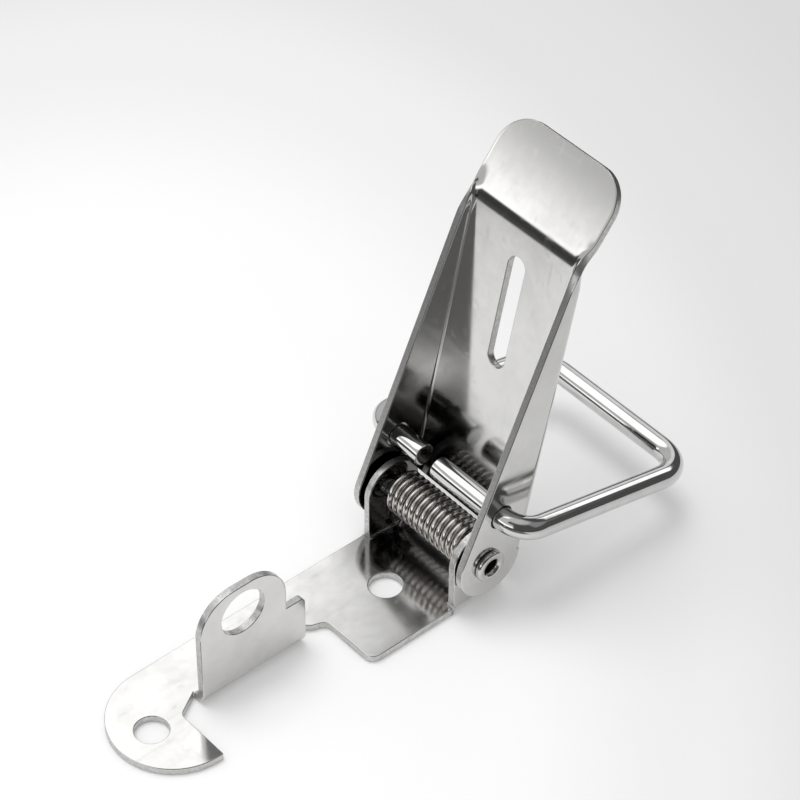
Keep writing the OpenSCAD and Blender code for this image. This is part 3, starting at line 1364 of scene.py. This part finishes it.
@dataclass
class TorsionSpring:
    """The coiled spring round the rivet, with a leg on the plate and a leg on the lever's back.

    Its lengths are in millimetres and its angles in degrees, from +x towards +z.

    Attributes:
        name: The piece's name.
        pivot: Where it sits along and above the base.
        wire: Radius of the wire.
        coil: Radius of the coil, at the middle of its wire.
        first_across: Where the coil starts across the plate.
        last_across: Where it ends.
        first_angle: The angle round the pivot at which it starts.
        last_angle: The angle at which it ends, all its turns counted.
        base_leg: Length of the leg on the plate.
        lever_leg: Length of the leg on the lever.
        rim: Length of the rounded rim of a leg's end.
        rim_rings: Of each ring of that rim, its distance from the end as a share of the rim, and
            how much it narrows the wire.
        catch: How far beyond the wire a point still counts as its own.
        held: How far inside the coil's ends the wire turns fully with its leg; not used.
        sides: Sides of the wire.
        steps: Steps to each turn.
    """

    name: str = "coiled_spring"
    pivot: tuple[float, float] = (32.6, 9.4)
    wire: float = 0.525
    coil: float = 3.175
    first_across: float = 7.725
    last_across: float = -8.175
    first_angle: float = -28.0
    last_angle: float = 4647.1
    base_leg: float = 6.83
    lever_leg: float = 5.9
    rim: float = 0.12
    rim_rings: tuple[tuple[float, float], ...] = ((0.4, 0.9), (0.0, 0.8))
    catch: float = 0.02
    held: float = 0.5
    sides: int = 16
    steps: int = 48

    def build(self, finishes: Finishes) -> Piece:
        """Coils the wire, draws out its legs and dresses the spring.

        Args:
            finishes: The latch's finishes.

        Returns:
            The finished piece.
        """
        total = self.last_angle - self.first_angle
        rounds = round(total / 360 * self.steps)
        start = math.radians(self.first_angle)
        deselect_all()
        bpy.ops.mesh.primitive_circle_add(
            vertices=self.sides, radius=self.wire * MM, location=millimetres(self.coil, 0, 0)
        )
        piece = start_piece(self.name)
        shift = Matrix.Translation(millimetres(0, self.first_across, 0))
        settle(piece, shift @ Matrix.Rotation(-start, 4, "Y"))
        coil = piece.modifiers.new("coil", "SCREW")
        coil.axis = "Y"
        coil.angle = -math.radians(total)
        coil.screw_offset = (self.last_across - self.first_across) * MM
        coil.steps = rounds
        coil.render_steps = rounds
        coil.iterations = 1
        coil.use_merge_vertices = False
        apply_modifiers(piece)
        self.draw_leg(piece, start, self.first_across, -1, self.base_leg)
        self.draw_leg(piece, math.radians(self.last_angle), self.last_across, 1, self.lever_leg)
        settle(piece, Matrix.Translation(millimetres(self.pivot[0], 0, self.pivot[1])))
        mesh_outward(piece)
        smooth(piece, 50)
        piece.data.materials.append(finishes.spring)
        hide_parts("torsion_spring")
        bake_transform(piece)
        return piece

    def draw_leg(self, piece: Piece, angle: float, across: float, way: int, length: float) -> None:
        """Draws one straight leg out of an end of the coil, with a rounded rim.

        Args:
            piece: The coiled wire, about its own axis.
            angle: The angle of that end, in radians.
            across: Where that end sits across the plate.
            way: 1 to go on the way the coil turns, -1 to go back.
            length: The leg's length, in millimetres.
        """
        middle = millimetres(self.coil * math.cos(angle), across, self.coil * math.sin(angle))
        along = Vector((-math.sin(angle), 0, math.cos(angle))) * way
        near = (self.wire + self.catch) * MM

        def is_end(place: Vector) -> bool:
            """Whether a point lies in the wire's open end."""
            return (place - middle).length < near and abs((place - middle).dot(along)) < 1e-5

        shape_points(piece, is_end)
        reached = length - self.rim
        extrude_ring(along * reached * MM)
        for share, factor in self.rim_rings:
            place = length - self.rim * share
            extrude_ring(along * (place - reached) * MM)
            resize_ring(factor, middle + along * place * MM)
            reached = place
        bpy.ops.mesh.edge_face_add()
        close_shape()


@dataclass
class Bail:
    """The bent wire bail, whose ends turn in through the lever's sides, its lengths in millimetres.

    Attributes:
        name: The piece's name.
        hinge: Where its holes sit along and above the base.
        slope: How far the resting bail slopes down, in degrees.
        wire: Radius of the wire.
        reach: Distance from the holes to the middle of the cross bar.
        span: How far the middle of a leg is from the middle of the latch.
        corner: Bend radius of the far corners, at the middle of the wire.
        turn: Bend radius where the wire turns in.
        left_end: Where the left end stops across the latch.
        right_end: Where the right end stops.
        rim: Length of the rounded rim of an end.
        sides: Sides of the wire.
        straight_steps: Rings along each straight length.
        bend_steps: Rings round each bend.
        rim_steps: Rings round each rim.
    """

    name: str = "bent_bail_wire"
    hinge: tuple[float, float] = (34.677, 17.446)
    slope: float = 13.6
    wire: float = 1.85
    reach: float = 35.895
    span: float = 16.9
    corner: float = 5.8
    turn: float = 3.9
    left_end: float = 5.1
    right_end: float = 1.8
    rim: float = 0.18
    sides: int = 48
    straight_steps: int = 4
    bend_steps: int = 16
    rim_steps: int = 4

    def build(self, finishes: Finishes) -> Piece:
        """Bends the wire from its left end to its right end and dresses it.

        Args:
            finishes: The latch's finishes.

        Returns:
            The finished piece.
        """
        at = Vector((0.0, self.left_end + self.rim))
        deselect_all()
        bpy.ops.mesh.primitive_circle_add(
            vertices=self.sides,
            radius=self.wire * MM,
            location=millimetres(*at, 0),
            rotation=(math.pi / 2, 0, 0),
        )
        piece = start_piece(self.name)
        settle(piece, Matrix.Identity(4))
        shape(piece)
        outer, inner, wide = self.reach - self.corner, self.span - self.turn, self.span - self.corner
        # Where each bend starts, and its centre
        for start, centre in (
            ((0.0, inner), (self.turn, inner)),
            ((outer, self.span), (outer, wide)),
            ((self.reach, -wide), (outer, -wide)),
            ((self.turn, -self.span), (self.turn, -inner)),
        ):
            at = self.draw(at, Vector(start))
            at = self.bend(at, Vector(centre))
        self.draw(at, Vector((0.0, self.right_end - self.rim)))
        close_shape()
        self.round_end(piece, self.left_end + self.rim, -1)
        self.round_end(piece, self.right_end - self.rim, 1)
        mesh_outward(piece)
        shift = Matrix.Translation(millimetres(self.hinge[0], 0, self.hinge[1]))
        settle(piece, shift @ Matrix.Rotation(math.radians(self.slope), 4, "Y"))
        smooth(piece, 50)
        piece.data.materials.append(finishes.bail)
        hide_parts("bail")
        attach(piece, Body.BAIL.value)
        return piece

    def draw(self, at: Vector, to: Vector) -> Vector:
        """Draws the wire straight on, in the bail's own plane.

        Args:
            at: Where the wire's end is, in millimetres.
            to: Where it goes.

        Returns:
            Where the wire's end is now.
        """
        step = (to - at) / self.straight_steps
        for _ in range(self.straight_steps):
            extrude_ring(millimetres(step.x, step.y, 0))
        return to

    def bend(self, at: Vector, centre: Vector) -> Vector:
        """Bends the wire a quarter turn round a centre, clockwise as seen from above.

        Args:
            at: Where the wire's end is, in millimetres, in the bail's own plane.
            centre: The bend's centre.

        Returns:
            Where the wire's end is now.
        """
        middle = millimetres(centre.x, centre.y, 0)
        bpy.ops.mesh.spin(steps=self.bend_steps, angle=-math.pi / 2, center=middle, axis=(0, 0, -1))
        arm = at - centre
        return centre + Vector((arm.y, -arm.x))

    def round_end(self, piece: Piece, across: float, way: int) -> None:
        """Closes one end of the wire with a flat face and a rounded rim.

        Args:
            piece: The bent wire, in its own plane.
            across: Where its last ring is.
            way: The way the end faces across the latch, 1 or -1.
        """
        near = (self.wire + 0.1) * MM
        shape_points(piece, lambda place: abs(place.y - across * MM) < 1e-6 and abs(place.x) < near)
        place, radius = across, self.wire
        for angle in spaced(0.0, math.pi / 2, self.rim_steps):
            next_place = across + way * self.rim * math.sin(angle)
            next_radius = self.wire - self.rim * (1 - math.cos(angle))
            extrude_ring(millimetres(0, next_place - place, 0))
            resize_ring(next_radius / radius, millimetres(0, next_place, 0))
            place, radius = next_place, next_radius
        extrude_ring(Vector((0, 0, 0)))
        resize_ring(0.5, millimetres(0, place, 0))
        bpy.ops.mesh.edge_face_add()
        close_shape()


# The studio


def hang(data: bpy.types.ID, back: Vector) -> bpy.types.Object:
    """Puts a lamp or a camera in the scene.

    Args:
        data: The lamp or the camera.
        back: The direction that its back faces.

    Returns:
        Its object, named as it is.
    """
    thing = bpy.data.objects.new(data.name, data)
    bpy.context.scene.collection.objects.link(thing)
    thing.rotation_mode = "QUATERNION"
    thing.rotation_quaternion = (-back).to_track_quat("-Z", "Y")
    return thing


@dataclass(frozen=True)
class Card:
    """A light or dark card in the studio's surround, seen by reflection.

    Attributes:
        azimuth: From and to which direction it reaches, from +x towards +y, in degrees.
        elevation: From and to which height above level it reaches, in degrees.
        level: Its brightness, where 1 is white.
        soft: How wide its soft border is, sideways and upward, in degrees.
    """

    azimuth: tuple[float, float]
    elevation: tuple[float, float]
    level: float
    soft: tuple[float, float]


@dataclass
class Studio:
    """The pale floor, the soft surround, the lamp and the camera.

    Attributes:
        surround: Brightness of the surround between the cards, as the metal mirrors it.
        daylight: Its brightness to every other ray, which lights the floor.
        cards: The cards of the surround, later ones over earlier ones.
        target: The point that the camera looks at, in millimetres.
        back: The direction from that point to the camera.
        distance: How far the camera is, in millimetres.
        lens: The lens, in millimetres.
        sensor: The sensor's width, in millimetres.
        clip: How close to the camera things are still seen, in metres.
        sun: The lamp's azimuth and height, in degrees.
        sun_energy: Its strength.
        sun_disc: How wide it looks, in degrees.
        floor_radius: The floor's radius, in metres.
        floor_middle: Its middle, in metres, a hair below the latch.
        floor_inset: Width of its outer ring, in metres.
        cover: How much of its tone the floor shows by the light on it.
        glow: How much of its tone it shows by itself.
        dullness: Its roughness.
        bright_spot: Where the painted pool of light on the floor is brightest, in millimetres.
        spread: The distances across and away from the camera that count as 1, in metres.
        light_pool_tones: The floor's grey at each distance from the bright spot, a painted pool of light.
        toward: The direction on the floor towards the camera.
        right: The direction to the camera's right.
        left: The direction to the far left.
        behind: The direction behind the latch.
        toward_fade: Between which two distances that way, in metres, the floor that metal mirrors
            changes, and how much of its tone is left before and beyond them.
        right_fade: The same to the right, where the floor in front gets bright again.
        left_fade: The same at the far left.
        behind_fade: The same behind.
    """

    surround: float = 0.62
    daylight: float = 0.7
    cards: tuple[Card, ...] = (
        Card((-180, 180), (-91, -1), 0.12, (1, 2)),
        Card((-178, 48), (-92, 62), 0.09, (4, 16)),
        Card((50.6, 142), (40, 78), 1.6, (5, 5)),
        Card((126, 205), (22, 42), 0.62, (8, 3)),
        Card((124, 205), (12, 23.8), 1.6, (6, 6)),
        Card((118, 178), (-8, 10.5), 0.05, (10, 3)),
        Card((-80, -20), (32, 62), 0.3, (12, 10)),
        Card((-8, 24), (27, 37), 1.6, (3, 2)),
        Card((30, 50), (8, 43), 0.9, (3, 3)),
    )
    target: Place = (28.49, 3.56, 33.80)
    back: Place = (-0.4762, -0.5541, 0.6828)
    distance: float = 500.0
    lens: float = 152.39
    sensor: float = 36.0
    clip: float = 0.01
    sun: tuple[float, float] = (98.0, 76.0)
    sun_energy: float = 1.1
    sun_disc: float = 34.0
    floor_radius: float = 0.46
    floor_middle: Place = (0.03, 0.0, -0.00003)
    floor_inset: float = 0.2
    cover: float = 0.9
    glow: float = 0.12
    dullness: float = 0.9
    bright_spot: tuple[float, float] = (-22.0, 22.0)
    spread: tuple[float, float] = (0.262, 0.41)
    light_pool_tones: tuple[tuple[float, float], ...] = (
        (0.12, 1.0),
        (0.24, 0.95),
        (0.36, 0.84),
        (0.46, 0.74),
        (0.62, 0.67),
    )
    toward: Place = (-0.652, -0.758, 0)
    right: Place = (0.758, -0.652, 0)
    left: Place = (-0.795, 0.606, 0)
    behind: Place = (0.81, 0.586, 0)
    toward_fade: tuple[float, float, float, float] = (0.024, 0.037, 1.0, 0.2)
    right_fade: tuple[float, float, float, float] = (0.045, 0.06, 0.0, 1.0)
    left_fade: tuple[float, float, float, float] = (0.112, 0.14, 1.0, 0.1)
    behind_fade: tuple[float, float, float, float] = (0.14, 0.18, 1.0, 0.1)

    def build(self) -> None:
        """Sets up the world, the floor, the lamp and the camera."""
        self.build_world()
        self.build_floor()
        self.build_lamp()
        self.build_camera()

    def build_lamp(self) -> None:
        """Hangs one wide soft lamp, which metal doesn't mirror, for the shadow on the floor."""
        data = bpy.data.lights.new("studio_lamp", "SUN")
        data.energy = self.sun_energy
        data.angle = math.radians(self.sun_disc)
        azimuth, height = (math.radians(value) for value in self.sun)
        level = Vector((math.cos(azimuth), math.sin(azimuth), 0.0)) * math.cos(height)
        lamp = hang(data, level + Vector((0.0, 0.0, math.sin(height))))
        lamp.visible_glossy = False

    def build_world(self) -> None:
        """Makes the soft surround with its cards, which only mirrored rays see."""
        world = bpy.data.worlds.new("studio_surround")
        bpy.context.scene.world = world
        world.use_nodes = True
        bench = NodeBench(world.node_tree)
        sky = world.node_tree.nodes["Background"]
        way = bench.add("ShaderNodeTexCoord").outputs["Generated"]
        parts = bench.add("ShaderNodeSeparateXYZ")
        bench.feed(parts.inputs[0], way)
        height = bench.maths("ARCSINE", parts.outputs["Z"])
        level: object = self.surround
        for card in self.cards:
            level = bench.blend(self.card_mask(bench, way, height, card), level, card.level)
        mirrored = bench.add("ShaderNodeLightPath").outputs["Is Glossy Ray"]
        bench.feed(sky.inputs["Strength"], bench.blend(mirrored, self.daylight, level))
        bench.feed(sky.inputs["Color"], (1.0, 1.0, 1.0, 1.0))
        bpy.context.scene.view_settings.view_transform = "Standard"

    def card_mask(self, bench: NodeBench, way: Socket, height: Socket, card: Card) -> Socket:
        """Where one card stands in the surround.

        Args:
            bench: The bench on the world's nodes.
            way: The direction that is looked in.
            height: Its height above level, in radians.
            card: The card.

        Returns:
            The socket with a mask that is 1 inside the card.
        """
        middle = math.radians(sum(card.azimuth) / 2)
        ahead = bench.along(way, (math.cos(middle), math.sin(middle), 0))
        aside = bench.along(way, (-math.sin(middle), math.cos(middle), 0))
        offset = bench.maths("ABSOLUTE", bench.maths("ARCTAN2", aside, ahead))
        level = math.radians(sum(card.elevation) / 2)
        rise = bench.maths("ABSOLUTE", bench.maths("SUBTRACT", height, level))
        mask: object = 1.0
        for value, (low, high), soft in zip((offset, rise), (card.azimuth, card.elevation), card.soft):
            half = (high - low) / 2
            inside = bench.ramp(value, math.radians(half - soft / 2), math.radians(half + soft / 2), 1.0, 0.0)
            mask = bench.maths("MULTIPLY", mask, inside)
        return mask

    def build_floor(self) -> None:
        """Makes the pale floor, with a painted pool of light that is brightest at the lower left of the
        picture.
        """
        deselect_all()
        bpy.ops.mesh.primitive_circle_add(
            vertices=96, radius=self.floor_radius, location=self.floor_middle, fill_type="NGON"
        )
        floor = start_piece("studio_floor")
        shape(floor)
        bpy.ops.mesh.inset(thickness=self.floor_inset)
        close_shape()
        settle(floor, Matrix.Identity(4))
        material, bench, shader, place = start_material("pale_floor")
        # Painted light: the floor's grey fades out from the bright spot
        tone = self.grey(bench, self.from_bright_spot(bench, place))
        mirrored = bench.add("ShaderNodeLightPath").outputs["Is Glossy Ray"]
        tone = bench.mix(mirrored, tone, bench.tint(tone, self.left_in_mirrors(bench, place)))
        cover = (self.cover, self.cover, self.cover, 1.0)
        bench.feed(shader.inputs["Base Color"], bench.tint(tone, cover))
        bench.feed(shader.inputs["Emission Color"], tone)
        bench.feed(shader.inputs["Emission Strength"], self.glow)
        bench.feed(shader.inputs["Roughness"], self.dullness)
        bench.feed(shader.inputs["Specular IOR Level"], 0.0)
        floor.data.materials.append(material)

    def left_in_mirrors(self, bench: NodeBench, place: Socket) -> Socket:
        """How much of the floor's tone metal mirrors: less in front, at the far left and behind.

        Args:
            bench: The bench on the floor's nodes.
            place: The socket with the place.

        Returns:
            The socket with the share that is left.
        """
        front = bench.ramp(bench.along(place, self.toward), *self.toward_fade)
        bright = bench.ramp(bench.along(place, self.right), *self.right_fade)
        front = bench.maths("MAXIMUM", front, bright)
        left = bench.ramp(bench.along(place, self.left), *self.left_fade)
        behind = bench.ramp(bench.along(place, self.behind), *self.behind_fade)
        return bench.maths("MULTIPLY", bench.maths("MULTIPLY", front, left), behind)

    def from_bright_spot(self, bench: NodeBench, place: Socket) -> Socket:
        """How far a place on the floor is from the bright spot.

        Args:
            bench: The bench on the floor's nodes.
            place: The socket with the place.

        Returns:
            The socket with the distance, in spreads.
        """
        moved = bench.add("ShaderNodeVectorMath", operation="SUBTRACT")
        bench.feed(moved.inputs[0], place)
        bench.feed(moved.inputs[1], millimetres(*self.bright_spot, 0))
        squares = []
        for axis, size in zip((self.right, self.toward), self.spread):
            far = bench.along(moved.outputs[0], Vector(axis) / size)
            squares.append(bench.maths("MULTIPLY", far, far))
        return bench.maths("SQRT", bench.maths("ADD", *squares))

    def grey(self, bench: NodeBench, value: Socket) -> Socket:
        """Turns a distance from the bright spot into the floor's grey, a painted pool of light that fades
        outward.

        Args:
            bench: The bench on the floor's nodes.
            value: The socket with the distance.

        Returns:
            The socket with the grey.
        """
        node = bench.add("ShaderNodeValToRGB")
        bench.feed(node.inputs[0], value)
        ramp = node.color_ramp
        ramp.interpolation = "EASE"
        while len(ramp.elements) < len(self.light_pool_tones):
            ramp.elements.new(0.5)
        for element, (place, grey) in zip(ramp.elements, self.light_pool_tones):
            element.position = place
            element.color = (grey, grey, grey, 1.0)
        return node.outputs["Color"]

    def build_camera(self) -> None:
        """Places the camera at the photograph's angle."""
        data = bpy.data.cameras.new("studio_camera")
        data.sensor_width = self.sensor
        data.lens = self.lens
        data.clip_start = self.clip
        back = Vector(self.back).normalized()
        camera = hang(data, back)
        camera.location = millimetres(*self.target) + back * self.distance * MM
        bpy.context.scene.camera = camera


def main() -> None:
    """Builds the latch and its studio."""
    finishes = Finishes()
    for part in (BasePlate(), PivotRivet(), TorsionSpring(), Lever(), Bail()):
        piece = part.build(finishes)
        log.info("%s: %d faces", piece.name, len(piece.data.polygons))
    Studio().build()


if __name__ == "__main__":
    logging.basicConfig(level=logging.INFO, format="%(message)s")
    main()
